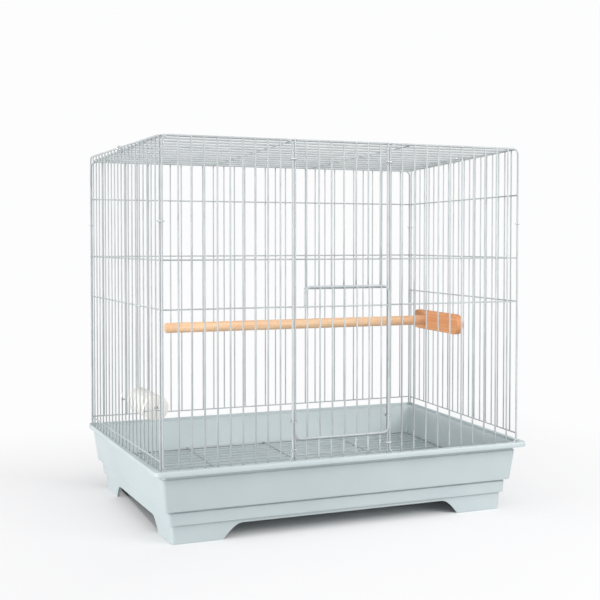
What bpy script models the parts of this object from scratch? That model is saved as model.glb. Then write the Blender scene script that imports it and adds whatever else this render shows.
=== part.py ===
"""Breeding cage for small birds: wire walls and roof standing in a moulded plastic tray.

Metres, +Z up. The front faces -Y. The plan is a trapezoid, a little wider at the back.
Heights are measured from the floor under the tray's feet.
"""

from math import atan2, cos, hypot, pi, radians, sin, tan

import bmesh
import bpy
from mathutils import Matrix, Vector

# Wire box, measured on the centre lines of the wires
BOX_FRONT_WIDTH = 0.370
BOX_BACK_WIDTH = 0.400
BOX_DEPTH = 0.260
BOX_TOP = 0.3675
ROOF_DROP = 0.005

# Heights of the horizontal wires
RAIL_UPPER = 0.3208
RAIL_MIDDLE = 0.2576
RAIL_LOWER = 0.2136
RAIL_RING = 0.0791

# Wire: frames, the bars of the front, and the thinner bars and rails everywhere else
FRAME_RADIUS = 0.0011
BAR_RADIUS = 0.0009
THIN_RADIUS = 0.0007
WELD_DEPTH = 0.0004
RAIL_INSET = 0.0003
BEND_RADIUS = 0.006
WIRE_SIDES = 6
GAP = 0.0003
SLACK = 0.0002

# Front: two outer bays and the gate between them
LEFT_BAY_WIDTH = 0.1245
RIGHT_BAY_WIDTH = 0.1453
LEFT_BAY_PITCH = 0.01205
RIGHT_BAY_PITCH = 0.0132
GATE_PITCH = 0.0127
GATE_FIRST_GAP = 0.0112
CLOSEST_BARS = 0.006

# Spacing of the bars and ties of the other walls, the roof and the grate
WALL_PITCH = 0.0127
ROOF_PITCH = 0.0212
ROOF_TIE_PITCH = 0.123
GRATE_PITCH = 0.0138
GRATE_TIE_PITCH = 0.0925

# Sliding door
DOOR_BOTTOM = 0.091
DOOR_ABOVE_RAIL = 0.0184
DOOR_LEG_TO_BAR = 0.0025
DOOR_EYE = 0.107
SILL_TOP = 0.086
GATE_UNDER_DOOR_TOP = 0.0015

# Tray, with its section given as offsets from the wires' plan and heights
TRAY_WALL = 0.0024
RIM_TOP = 0.0713
LIP_OVERHANG = 0.0078
LIP_BOTTOM = 0.0665
LIP_EDGE = 0.0004
RIM_CLEARANCE = 0.0005
SHOULDER_DEPTH = 0.0028
BAND_TOP_IN = 0.0010
BAND_BOTTOM_IN = 0.0050
BAND_BOTTOM = 0.0324
STEP_IN = 0.0092
STEP_TAPER = 0.0007
STEP_BOTTOM = 0.0184
SKIRT_TOP_IN = 0.0127
SKIRT_IN = 0.0138
TRAY_EDGE = 0.0006
LEDGE = 0.0352
LEDGE_WIDTH = 0.0052
FLOOR_TOP = 0.0186
FLOOR_THICK = 0.0028
FLOOR_FILLET = 0.0015
TRAY_CORNER = 0.003
INNER_CORNER = 0.002
CORNER_STEPS = 3

# Feet: the skirt is cut away between them
FOOT_WIDTH = 0.0419
NOTCH_HEIGHT = 0.0144
NOTCH_SLOPE = 0.015
NOTCH_END = ((0.0, 0.0), (0.25, 0.35), (0.5, 0.67), (0.75, 0.9), (1.0, 1.0))

# Perch on the right wall
PERCH_HEIGHT = 0.1805
PERCH_FROM_FRONT = 0.200
PERCH_RADIUS = 0.0056
PERCH_ROUNDING = 0.002
PERCH_FREE_END = 0.0542
PERCH_SOCKET = 0.0045
PLATE_LENGTH = 0.122
PLATE_HEIGHT = 0.0226
PLATE_THICK = 0.0075
PLATE_EDGE = 0.0012
PLATE_FROM_FRONT = 0.171
WASHER_RADIUS = 0.009
WASHER_THICK = 0.0010
SCREW_RADIUS = 0.0018
SCREW_HEAD_RADIUS = 0.0038
SCREW_HEAD_TOP_RADIUS = 0.0023
SCREW_HEAD_HEIGHT = 0.0022
SCREW_GRIP = 0.0025

# Mineral block inside the left wall
BLOCK_RADIUS = 0.0121
BLOCK_LENGTH = 0.059
BLOCK_FROM_FRONT = 0.0865
BLOCK_HEIGHT = 0.1177
BLOCK_BORE = 0.0016
BLOCK_EDGE = 0.0012
HANGER_RADIUS = 0.0008
HANGER_BEND = 0.0016
HANGER_HOOK = 0.007

# Clips that tie two wires together
CLIP_RADIUS = 0.0006
CLIP_SIDES = 10
CORNER_CLIP_HEIGHT = 0.292
BAY_CLIP_HEIGHTS = (0.0810, 0.3500)
ROOF_CLIP_FROM_FRONT = 0.1365

DOOR_TOP = RAIL_LOWER + DOOR_ABOVE_RAIL
HALF_DEPTH = BOX_DEPTH / 2
FLARE = (BOX_BACK_WIDTH - BOX_FRONT_WIDTH) / 2
FLARE_ANGLE = atan2(FLARE, BOX_DEPTH)
FRONT_RAIL_SET = BAR_RADIUS + THIN_RADIUS - WELD_DEPTH
WALL_RAIL_SET = 2 * THIN_RADIUS - WELD_DEPTH
CORNER_SET = 2 * FRAME_RADIUS + GAP + SLACK / 2
SHOULDER = RIM_TOP - SHOULDER_DEPTH
FOOT_OF_WIRES = SHOULDER + GAP + FRAME_RADIUS
DOOR_SET = FRAME_RADIUS + BAR_RADIUS + GAP + SLACK


def clear_scene():
    for item in list(bpy.data.objects):
        bpy.data.objects.remove(item)


def new_collection(name, hidden=False):
    made = bpy.data.collections.new(name)
    made.hide_render = hidden
    bpy.context.scene.collection.children.link(made)
    return made


def new_material(name, colour, roughness, metallic=0.0):
    made = bpy.data.materials.new(name)
    made.use_nodes = True
    shader = made.node_tree.nodes["Principled BSDF"]
    shader.inputs["Base Color"].default_value = (*colour, 1.0)
    shader.inputs["Roughness"].default_value = roughness
    shader.inputs["Metallic"].default_value = metallic
    made.diffuse_color = (*colour, 1.0)
    return made


clear_scene()
CAGE = new_collection("bird_breeding_cage")
TOOLS = new_collection("tools", hidden=True)
WIRE = new_material("wire_coating", (0.55, 0.64, 0.66), 0.35)
PLASTIC = new_material("tray_plastic", (0.52, 0.60, 0.63), 0.4)
WOOD = new_material("perch_wood", (0.80, 0.50, 0.28), 0.6)
MINERAL = new_material("mineral", (0.80, 0.76, 0.68), 0.9)
STEEL = new_material("zinc_steel", (0.55, 0.55, 0.55), 0.35, 1.0)


def as_object(name, shape, material, helper=False, smooth_below=radians(75)):
    """An object from a finished bmesh; the bmesh is freed."""
    bmesh.ops.recalc_face_normals(shape, faces=shape.faces)
    mesh = bpy.data.meshes.new(name)
    shape.to_mesh(mesh)
    shape.free()
    for face in mesh.polygons:
        face.use_smooth = True
    mesh.set_sharp_from_angle(angle=smooth_below)
    mesh.materials.append(material)
    made = bpy.data.objects.new(name, mesh)
    (TOOLS if helper else CAGE).objects.link(made)
    if helper:
        made.hide_render = True
        made.display_type = "WIRE"
    return made


def combine(target, tool, operation):
    step = target.modifiers.new(tool.name, "BOOLEAN")
    step.operation = operation
    step.solver = "EXACT"
    step.object = tool


def add_rod(shape, start, end, radius, sides=WIRE_SIDES, end_radius=None):
    """A straight round bar from start to end, with flat ends."""
    run = Vector(end) - Vector(start)
    turn = run.to_track_quat("Z", "Y").to_matrix().to_4x4()
    place = Matrix.Translation((Vector(start) + Vector(end)) / 2) @ turn
    bmesh.ops.create_cone(
        shape,
        cap_ends=True,
        segments=sides,
        radius1=radius,
        radius2=radius if end_radius is None else end_radius,
        depth=run.length,
        matrix=place,
    )


def bent_wire(points, radius, closed=False, resolution=1):
    """A bmesh of one wire swept along the points."""
    path = bpy.data.curves.new("path", "CURVE")
    path.dimensions = "3D"
    path.bevel_depth = radius
    path.bevel_resolution = resolution
    path.use_fill_caps = True
    line = path.splines.new("POLY")
    line.points.add(len(points) - 1)
    for knot, point in zip(line.points, points):
        knot.co = (*point, 1.0)
    line.use_cyclic_u = closed
    holder = bpy.data.objects.new("path", path)
    mesh = bpy.data.meshes.new_from_object(holder)
    bpy.data.objects.remove(holder)
    shape = bmesh.new()
    shape.from_mesh(mesh)
    bmesh.ops.remove_doubles(shape, verts=shape.verts, dist=1e-6)
    bpy.data.meshes.remove(mesh)
    return shape


def rounded(corners, radii, closed=True, steps=3):
    """The corner points with each corner replaced by an arc of its radius."""
    out = []
    count = len(corners)
    for index, (corner, radius) in enumerate(zip(corners, radii)):
        if radius == 0 or (not closed and index in (0, count - 1)):
            out.append(Vector(corner))
            continue
        here = Vector(corner)
        back = (Vector(corners[index - 1]) - here).normalized()
        ahead = (Vector(corners[(index + 1) % count]) - here).normalized()
        half = back.angle(ahead) / 2
        middle = here + (back + ahead).normalized() * radius / sin(half)
        first = here + back * radius / tan(half) - middle
        last = here + ahead * radius / tan(half) - middle
        sweep = first.angle(last)
        for step in range(steps + 1):
            share = step / steps
            spoke = first * sin((1 - share) * sweep) + last * sin(share * sweep)
            out.append(middle + spoke / sin(sweep))
    return out


def half_width(depth):
    """Half the width of the box at this distance behind the front wires."""
    return BOX_FRONT_WIDTH / 2 + FLARE * depth / BOX_DEPTH


def plan_corners(offset, height):
    """Corners of the plan moved outwards by offset, from front left round to back left."""
    side = offset / cos(FLARE_ANGLE)
    front = half_width(-offset) + side
    back = half_width(BOX_DEPTH + offset) + side
    depth = HALF_DEPTH + offset
    return [
        (-front, -depth, height),
        (front, -depth, height),
        (back, depth, height),
        (-back, depth, height),
    ]


class Wall:
    """A flat wire panel's plane: along runs in the wall, inward points into the cage."""

    def __init__(self, start, end):
        self.start = Vector((*start, 0.0))
        self.along = (Vector((*end, 0.0)) - self.start).normalized()
        self.length = (Vector((*end, 0.0)) - self.start).length
        self.inward = Vector((-self.along.y, self.along.x, 0.0))

    def at(self, along, height, inward=0.0):
        place = self.start + self.along * along + self.inward * inward
        return place + Vector((0.0, 0.0, height))


FRONT = Wall((-BOX_FRONT_WIDTH / 2, -HALF_DEPTH), (BOX_FRONT_WIDTH / 2, -HALF_DEPTH))
RIGHT = Wall((BOX_FRONT_WIDTH / 2, -HALF_DEPTH), (BOX_BACK_WIDTH / 2, HALF_DEPTH))
BACK = Wall((BOX_BACK_WIDTH / 2, HALF_DEPTH), (-BOX_BACK_WIDTH / 2, HALF_DEPTH))
LEFT = Wall((-BOX_BACK_WIDTH / 2, HALF_DEPTH), (-BOX_FRONT_WIDTH / 2, -HALF_DEPTH))


def weld(body, kind, wires, radius):
    """Straight wires let into body, as (start, end) pairs."""
    shape = bmesh.new()
    for start, end in wires:
        add_rod(shape, start, end, radius)
    combine(body, as_object(f"{body.name}_{kind}", shape, WIRE, helper=True), "UNION")


def wire_panel(name, frame, rails, bars, bar_radius=THIN_RADIUS):
    """One welded panel: a bent frame with straight rails and bars let into it."""
    made = as_object(name, frame, WIRE)
    weld(made, "rails", rails, THIN_RADIUS)
    weld(made, "bars", bars, bar_radius)
    return made


def evenly(first, last, pitch):
    """Places of bars with equal gaps, as near to pitch as the length allows."""
    gaps = max(1, round((last - first) / pitch))
    gap = (last - first) / gaps
    return [first + gap * index for index in range(1, gaps)]


def stepped(first, last, pitch):
    """Places from first on, pitch apart, that stay clear of last."""
    room = abs(last - first) - CLOSEST_BARS
    step = pitch if last > first else -pitch
    return [first + step * index for index in range(int(room / pitch) + 1)]


def closed_panel(name, wall, first, last, places):
    """A front bay: its frame goes all the way round and its foot hides behind the rim."""
    corners = [
        wall.at(first, FOOT_OF_WIRES),
        wall.at(last, FOOT_OF_WIRES),
        wall.at(last, BOX_TOP),
        wall.at(first, BOX_TOP),
    ]
    frame = bent_wire(rounded(corners, [BEND_RADIUS] * 4), FRAME_RADIUS, closed=True)
    rails = [
        [wall.at(along, height, FRONT_RAIL_SET) for along in (first + RAIL_INSET, last - RAIL_INSET)]
        for height in (RAIL_MIDDLE, RAIL_LOWER)
    ]
    bars = [(wall.at(place, FOOT_OF_WIRES), wall.at(place, BOX_TOP)) for place in places]
    return wire_panel(name, frame, rails, bars, BAR_RADIUS)


def wall_ends(wall):
    """Where the frame's legs stand; the back wall's legs are outside those of the side walls."""
    first = FRAME_RADIUS + GAP if wall is BACK else CORNER_SET
    return first, wall.length - first


def open_panel(name, wall, top, rail_heights):
    """A side or back wall: an arched frame on two legs, with the bars ending on a ring wire."""
    first, last = wall_ends(wall)
    corners = [
        wall.at(first, SHOULDER + GAP),
        wall.at(first, top),
        wall.at(last, top),
        wall.at(last, SHOULDER + GAP),
    ]
    frame = bent_wire(rounded(corners, [0, BEND_RADIUS, BEND_RADIUS, 0], closed=False), FRAME_RADIUS)
    rails = [
        [wall.at(along, height, WALL_RAIL_SET) for along in (first + RAIL_INSET, last - RAIL_INSET)]
        for height in rail_heights
    ]
    rails.append((wall.at(first, RAIL_RING), wall.at(last, RAIL_RING)))
    places = evenly(first, last, WALL_PITCH)
    bars = [(wall.at(place, RAIL_RING), wall.at(place, top)) for place in places]
    return wire_panel(name, frame, rails, bars)


def lattice(name, frame_points, across, ties):
    """A flat frame with wires across it, the roof or the grate."""
    frame = bent_wire(rounded(frame_points, [BEND_RADIUS] * 4), FRAME_RADIUS, closed=True)
    return wire_panel(name, frame, across, ties)


def roof_height(depth):
    return BOX_TOP - ROOF_DROP * depth / BOX_DEPTH


def roof_panel():
    inset = CORNER_SET
    corners = [
        Vector((x, y, roof_height(y + HALF_DEPTH))) for x, y, _ in plan_corners(-inset, 0.0)
    ]
    across = []
    for depth in evenly(inset, BOX_DEPTH - inset, ROOF_PITCH):
        reach = half_width(depth) - inset
        height = roof_height(depth)
        across.append(((-reach, depth - HALF_DEPTH, height), (reach, depth - HALF_DEPTH, height)))
    under = Vector((0.0, 0.0, -WALL_RAIL_SET))
    ties = []
    for x in evenly(-BOX_FRONT_WIDTH / 2, BOX_FRONT_WIDTH / 2, ROOF_TIE_PITCH):
        near = Vector((x, inset - HALF_DEPTH, roof_height(inset)))
        far = Vector((x, HALF_DEPTH - inset, roof_height(BOX_DEPTH - inset)))
        ties.append((near + under, far + under))
    return lattice("roof_panel", corners, across, ties)


def floor_grate():
    inset = BAND_BOTTOM_IN + TRAY_WALL + 2 * GAP + FRAME_RADIUS
    height = LEDGE + GAP + FRAME_RADIUS
    corners = [Vector(point) for point in plan_corners(-inset, height)]
    across = []
    for depth in evenly(inset, BOX_DEPTH - inset, GRATE_PITCH):
        reach = half_width(depth) - inset
        across.append(((-reach, depth - HALF_DEPTH, height), (reach, depth - HALF_DEPTH, height)))
    ties = []
    for x in evenly(-BOX_FRONT_WIDTH / 2, BOX_FRONT_WIDTH / 2, GRATE_TIE_PITCH):
        near = (x, inset - HALF_DEPTH, height + WALL_RAIL_SET)
        far = (x, HALF_DEPTH - inset, height + WALL_RAIL_SET)
        ties.append((near, far))
    return lattice("floor_grate", corners, across, ties)


# The upright guides stand beside the frames of the two outer bays.
RIGHT_BAY_START = BOX_FRONT_WIDTH - RIGHT_BAY_WIDTH
GUIDE_LEFT = LEFT_BAY_WIDTH + 2 * FRAME_RADIUS + GAP
GUIDE_RIGHT = RIGHT_BAY_START - 2 * FRAME_RADIUS - GAP
GATE_PLACES = stepped(GUIDE_LEFT + GATE_FIRST_GAP, GUIDE_RIGHT, GATE_PITCH)
DOOR_LEG = GATE_PLACES[0] - DOOR_LEG_TO_BAR


def guide_rod(name, along):
    shape = bmesh.new()
    foot = FRONT.at(along, FOOT_OF_WIRES - FRAME_RADIUS)
    add_rod(shape, foot, FRONT.at(along, BOX_TOP + FRAME_RADIUS), FRAME_RADIUS)
    return as_object(name, shape, WIRE)


def gate_ladder(name, low, high, low_start, rail_heights):
    """The fixed wires above or below the door; the low wire may start further right."""
    first = GUIDE_LEFT + FRAME_RADIUS + GAP
    last = GUIDE_RIGHT - FRAME_RADIUS - GAP
    made = bmesh.new()
    add_rod(made, FRONT.at(first, high), FRONT.at(last, high), FRAME_RADIUS)
    add_rod(made, FRONT.at(low_start, low), FRONT.at(last, low), FRAME_RADIUS)
    body = as_object(name, made, WIRE)
    bars = [(FRONT.at(place, low), FRONT.at(place, high)) for place in GATE_PLACES]
    weld(body, "bars", bars, BAR_RADIUS)
    for height in rail_heights:
        ends = [FRONT.at(along, height, FRONT_RAIL_SET) for along in (first, last)]
        weld(body, "rail", [ends], THIN_RADIUS)
    return body


def gate_panels():
    beside_guide = GUIDE_LEFT + FRAME_RADIUS + GAP
    gate_ladder("gate_sill_panel", FOOT_OF_WIRES, SILL_TOP, beside_guide, ())
    low = DOOR_TOP - GATE_UNDER_DOOR_TOP
    gate_ladder("gate_upper_panel", low, BOX_TOP, DOOR_LEG, (RAIL_MIDDLE,))


def ring(centre, inner_radius, wire_radius, normal=(0.0, 0.0, 1.0), sides=CLIP_SIDES):
    """A closed wire ring round centre, in the plane square to normal."""
    turn = Vector(normal).to_track_quat("Z", "Y").to_matrix()
    middle = inner_radius + wire_radius
    points = []
    for index in range(sides):
        angle = 2 * pi * (index + 0.5) / sides
        spoke = Vector((cos(angle), sin(angle), 0.0)) * middle / cos(pi / sides)
        points.append(Vector(centre) + turn @ spoke)
    return bent_wire(points, wire_radius, closed=True, resolution=0)


def door_eye(body, side, guide, bay_frame):
    """A ring on the door that runs on a guide and the frame beside it."""
    enclose = abs(guide - bay_frame) / 2 + FRAME_RADIUS + GAP
    eye = ring(FRONT.at((guide + bay_frame) / 2, DOOR_EYE), enclose, CLIP_RADIUS)
    combine(body, as_object(f"{body.name}_eye_{side}", eye, WIRE, helper=True), "UNION")


def sliding_door():
    """One bent wire makes the frame; its two eyes run on the guides beside the bays."""
    plane = -DOOR_SET
    corners = [
        FRONT.at(GUIDE_LEFT, DOOR_EYE, plane),
        FRONT.at(GUIDE_LEFT, DOOR_BOTTOM, plane),
        FRONT.at(GUIDE_RIGHT, DOOR_BOTTOM, plane),
        FRONT.at(GUIDE_RIGHT, DOOR_TOP, plane),
        FRONT.at(DOOR_LEG, DOOR_TOP, plane),
        FRONT.at(DOOR_LEG, RAIL_LOWER, plane),
    ]
    bends = [0, BEND_RADIUS, BEND_RADIUS, BEND_RADIUS, BEND_RADIUS, 0]
    frame = bent_wire(rounded(corners, bends, closed=False), FRAME_RADIUS)
    body = as_object("sliding_door", frame, WIRE)
    bars = [
        (FRONT.at(place, DOOR_BOTTOM, plane), FRONT.at(place, DOOR_TOP, plane))
        for place in GATE_PLACES
    ]
    rail_plane = plane - FRONT_RAIL_SET
    ends = (GUIDE_LEFT, RAIL_LOWER, rail_plane), (GUIDE_RIGHT, RAIL_LOWER, rail_plane)
    weld(body, "bars", bars, BAR_RADIUS)
    weld(body, "rail", [tuple(FRONT.at(*end) for end in ends)], THIN_RADIUS)
    door_eye(body, "left", GUIDE_LEFT, LEFT_BAY_WIDTH)
    door_eye(body, "right", GUIDE_RIGHT, RIGHT_BAY_START)
    return body


def clip(name, centre, spread, normal=(0.0, 0.0, 1.0)):
    """A ring round two frame wires whose centres lie spread apart."""
    inner = spread / 2 + FRAME_RADIUS + GAP
    return as_object(name, ring(centre, inner, CLIP_RADIUS, normal), STEEL)


def corner_clips():
    ends = {
        "front_left": (FRONT.at(FRAME_RADIUS + GAP, 0), LEFT.at(LEFT.length - CORNER_SET, 0)),
        "front_right": (
            FRONT.at(BOX_FRONT_WIDTH - FRAME_RADIUS - GAP, 0),
            RIGHT.at(CORNER_SET, 0),
        ),
        "back_right": (BACK.at(FRAME_RADIUS + GAP, 0), RIGHT.at(RIGHT.length - CORNER_SET, 0)),
        "back_left": (BACK.at(BACK.length - FRAME_RADIUS - GAP, 0), LEFT.at(CORNER_SET, 0)),
    }
    for name, (one, other) in ends.items():
        centre = (one + other) / 2 + Vector((0.0, 0.0, CORNER_CLIP_HEIGHT))
        clip(f"clip_{name}", centre, (one - other).length)


def bay_clips():
    pairs = {
        "left_bay": (LEFT_BAY_WIDTH, GUIDE_LEFT),
        "right_bay": (RIGHT_BAY_START, GUIDE_RIGHT),
    }
    for name, (one, other) in pairs.items():
        for level, height in zip(("low", "high"), BAY_CLIP_HEIGHTS):
            clip(f"clip_{name}_{level}", FRONT.at((one + other) / 2, height), abs(one - other))


def tray_loop(shape, offset, height, radius):
    points = rounded(plan_corners(offset, height), [radius] * 4, steps=CORNER_STEPS)
    return [shape.verts.new(point) for point in points]


def tray_outside():
    """The section from under the floor down the skirt's inside, then up the outside to the rim."""
    skirt_inner = -SKIRT_IN - TRAY_WALL
    step_low = -STEP_IN - STEP_TAPER
    return [
        (skirt_inner, FLOOR_TOP - FLOOR_THICK, INNER_CORNER),
        (skirt_inner, 0.0, INNER_CORNER),
        (-SKIRT_IN, 0.0, TRAY_CORNER),
        (-SKIRT_TOP_IN, STEP_BOTTOM - TRAY_EDGE, TRAY_CORNER),
        (step_low - TRAY_EDGE, STEP_BOTTOM - TRAY_EDGE, TRAY_CORNER),
        (step_low, STEP_BOTTOM, TRAY_CORNER),
        (-STEP_IN, BAND_BOTTOM - TRAY_EDGE, TRAY_CORNER),
        (-BAND_BOTTOM_IN - TRAY_EDGE, BAND_BOTTOM - TRAY_EDGE, TRAY_CORNER),
        (-BAND_BOTTOM_IN, BAND_BOTTOM, TRAY_CORNER),
        (-BAND_TOP_IN, LIP_BOTTOM, TRAY_CORNER),
        (LIP_OVERHANG - LIP_EDGE, LIP_BOTTOM, TRAY_CORNER),
        (LIP_OVERHANG, LIP_BOTTOM + LIP_EDGE, TRAY_CORNER),
        (LIP_OVERHANG, RIM_TOP - 2 * LIP_EDGE, TRAY_CORNER),
        (LIP_OVERHANG - 2 * LIP_EDGE, RIM_TOP, TRAY_CORNER),
    ]


def tray_inside():
    """The section from the rim down the inside, past the shoulder and the ledge, to the floor."""
    rim_inner = FRAME_RADIUS + RIM_CLEARANCE
    wall_low = -BAND_BOTTOM_IN - TRAY_WALL
    ledge_inner = wall_low - LEDGE_WIDTH
    return [
        (rim_inner + RIM_CLEARANCE, RIM_TOP, INNER_CORNER),
        (rim_inner, RIM_TOP - RIM_CLEARANCE, INNER_CORNER),
        (rim_inner, SHOULDER, INNER_CORNER),
        (-BAND_TOP_IN - TRAY_WALL, SHOULDER, INNER_CORNER),
        (wall_low, LEDGE, INNER_CORNER),
        (ledge_inner, LEDGE, INNER_CORNER),
        (ledge_inner - TRAY_EDGE, LEDGE - TRAY_EDGE, INNER_CORNER),
        (ledge_inner - 2 * TRAY_EDGE, FLOOR_TOP + FLOOR_FILLET, INNER_CORNER),
        (ledge_inner - 2 * TRAY_EDGE - FLOOR_FILLET, FLOOR_TOP, INNER_CORNER),
    ]


def base_tray():
    """The tray's wall is skinned over its section, and its skirt is cut away between the feet."""
    shape = bmesh.new()
    loops = [tray_loop(shape, *level) for level in tray_outside() + tray_inside()]
    for lower, upper in zip(loops, loops[1:]):
        for index in range(len(lower)):
            shape.faces.new((lower[index - 1], lower[index], upper[index], upper[index - 1]))
    shape.faces.new(loops[0])
    shape.faces.new(loops[-1])
    made = as_object("base_tray", shape, PLASTIC, smooth_below=radians(35))
    for name, reach, across in (
        ("notch_front_back", BOX_FRONT_WIDTH / 2, BOX_DEPTH),
        ("notch_sides", HALF_DEPTH, BOX_BACK_WIDTH),
    ):
        combine(made, notch(name, reach - SKIRT_IN - FOOT_WIDTH, across), "DIFFERENCE")
    return made


def notch(name, reach, across):
    """A cutter with sloping, rounded ends, through the skirt on both sides."""
    outline = [(-reach, -0.001)]
    for run, rise in NOTCH_END:
        outline.append((-reach + NOTCH_SLOPE * run, NOTCH_HEIGHT * rise))
    mirrored = [(-x, z) for x, z in reversed(outline)]
    shape = bmesh.new()
    sideways = name == "notch_sides"
    verts = []
    for x, z in outline + mirrored:
        place = (-across, x, z) if sideways else (x, -across, z)
        verts.append(shape.verts.new(place))
    face = shape.faces.new(verts)
    grown = bmesh.ops.extrude_face_region(shape, geom=[face])
    moved = [item for item in grown["geom"] if isinstance(item, bmesh.types.BMVert)]
    shift = (2 * across, 0, 0) if sideways else (0, 2 * across, 0)
    bmesh.ops.translate(shape, verts=moved, vec=shift)
    return as_object(name, shape, PLASTIC, helper=True)


# The perch is screwed to the right wall; depths here are from the wall's centre plane.
PLATE_FACE = THIN_RADIUS + GAP
WASHER_FACE = -THIN_RADIUS - GAP
HEAD_FACE = WASHER_FACE - WASHER_THICK - GAP
SCREW_ALONG = PERCH_FROM_FRONT / cos(FLARE_ANGLE)
SOCKET_FACE = half_width(PERCH_FROM_FRONT) - (PLATE_FACE + PLATE_THICK) / cos(FLARE_ANGLE)


def rod_object(name, start, end, radius, sides, material, end_radius=None, helper=False):
    shape = bmesh.new()
    add_rod(shape, start, end, radius, sides, end_radius)
    return as_object(name, shape, material, helper=helper, smooth_below=radians(50))


def on_screw_line(depth):
    return RIGHT.at(SCREW_ALONG, PERCH_HEIGHT, depth)


def perch_plate():
    """A board with round ends, with a socket for the dowel and a pilot hole for the screw."""
    middle = PLATE_FROM_FRONT / cos(FLARE_ANGLE)
    reach = (PLATE_LENGTH - PLATE_HEIGHT) / 2
    shape = bmesh.new()
    outline = []
    for side, start in ((1, -pi / 2), (-1, pi / 2)):
        for step in range(9):
            angle = start + pi * step / 8
            along = middle + side * reach + cos(angle) * PLATE_HEIGHT / 2
            height = PERCH_HEIGHT + sin(angle) * PLATE_HEIGHT / 2
            outline.append(shape.verts.new(RIGHT.at(along, height, PLATE_FACE)))
    grown = bmesh.ops.extrude_face_region(shape, geom=[shape.faces.new(outline)])
    moved = [item for item in grown["geom"] if isinstance(item, bmesh.types.BMVert)]
    bmesh.ops.translate(shape, verts=moved, vec=RIGHT.inward * PLATE_THICK)
    rims = [edge for edge in shape.edges if edge.calc_face_angle(0) > radians(60)]
    bmesh.ops.bevel(shape, geom=rims, offset=PLATE_EDGE, segments=2, affect="EDGES")
    plate = as_object("perch_plate", shape, WOOD, smooth_below=radians(40))
    y = PERCH_FROM_FRONT - HALF_DEPTH
    socket = rod_object(
        "perch_socket",
        (SOCKET_FACE - PLATE_THICK, y, PERCH_HEIGHT),
        (SOCKET_FACE + PERCH_SOCKET + GAP, y, PERCH_HEIGHT),
        PERCH_RADIUS + GAP,
        20,
        WOOD,
        helper=True,
    )
    pilot_end = on_screw_line(PLATE_FACE + SCREW_GRIP + GAP)
    start = on_screw_line(-THIN_RADIUS)
    pilot = rod_object("perch_pilot", start, pilot_end, SCREW_RADIUS + GAP, 12, WOOD, helper=True)
    combine(plate, socket, "DIFFERENCE")
    combine(plate, pilot, "DIFFERENCE")
    return plate


def perch_dowel():
    """The dowel plugs into the plate and has a rounded free end."""
    free_end = PERCH_FREE_END - BOX_FRONT_WIDTH / 2
    y = PERCH_FROM_FRONT - HALF_DEPTH
    seat = (SOCKET_FACE + PERCH_SOCKET, y, PERCH_HEIGHT)
    shape = bmesh.new()
    add_rod(shape, (free_end, y, PERCH_HEIGHT), seat, PERCH_RADIUS, sides=20)
    rim = [
        edge for edge in shape.edges if all(abs(vert.co.x - free_end) < 1e-6 for vert in edge.verts)
    ]
    bmesh.ops.bevel(shape, geom=rim, offset=PERCH_ROUNDING, segments=3, affect="EDGES")
    return as_object("perch_dowel", shape, WOOD, smooth_below=radians(50))


def perch_washer():
    outside = WASHER_FACE - WASHER_THICK
    washer = rod_object(
        "perch_washer", on_screw_line(WASHER_FACE), on_screw_line(outside), WASHER_RADIUS, 24, STEEL
    )
    hole = rod_object(
        "washer_hole",
        on_screw_line(WASHER_FACE + WASHER_THICK),
        on_screw_line(outside - WASHER_THICK),
        SCREW_RADIUS + GAP,
        12,
        STEEL,
        helper=True,
    )
    combine(washer, hole, "DIFFERENCE")
    return washer


def perch_screw():
    rooted = HEAD_FACE - SCREW_HEAD_HEIGHT / 2
    tip = on_screw_line(PLATE_FACE + SCREW_GRIP)
    screw = rod_object("perch_screw", on_screw_line(rooted), tip, SCREW_RADIUS, 12, STEEL)
    head = rod_object(
        "perch_screw_head",
        on_screw_line(HEAD_FACE),
        on_screw_line(HEAD_FACE - SCREW_HEAD_HEIGHT),
        SCREW_HEAD_RADIUS,
        16,
        STEEL,
        end_radius=SCREW_HEAD_TOP_RADIUS,
        helper=True,
    )
    combine(screw, head, "UNION")
    return screw


# The mineral block hangs inside the left wall, with its axis along the wall.
BLOCK_DEPTH = BLOCK_RADIUS + THIN_RADIUS + GAP
BLOCK_MIDDLE = LEFT.length - BLOCK_FROM_FRONT / cos(FLARE_ANGLE)
BLOCK_ENDS = (BLOCK_MIDDLE - BLOCK_LENGTH / 2, BLOCK_MIDDLE + BLOCK_LENGTH / 2)


def mineral_block():
    """A pressed cylinder with a bore for its hanger."""
    start, end = (LEFT.at(along, BLOCK_HEIGHT, BLOCK_DEPTH) for along in BLOCK_ENDS)
    shape = bmesh.new()
    add_rod(shape, start, end, BLOCK_RADIUS, sides=24)
    rims = [edge for edge in shape.edges if edge.calc_face_angle(0) > radians(60)]
    bmesh.ops.bevel(shape, geom=rims, offset=BLOCK_EDGE, segments=2, affect="EDGES")
    block = as_object("mineral_block", shape, MINERAL, smooth_below=radians(50))
    over = LEFT.along * BLOCK_EDGE
    bore = rod_object("block_bore", start - over, end + over, BLOCK_BORE, 12, MINERAL, helper=True)
    combine(block, bore, "DIFFERENCE")
    return block


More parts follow.
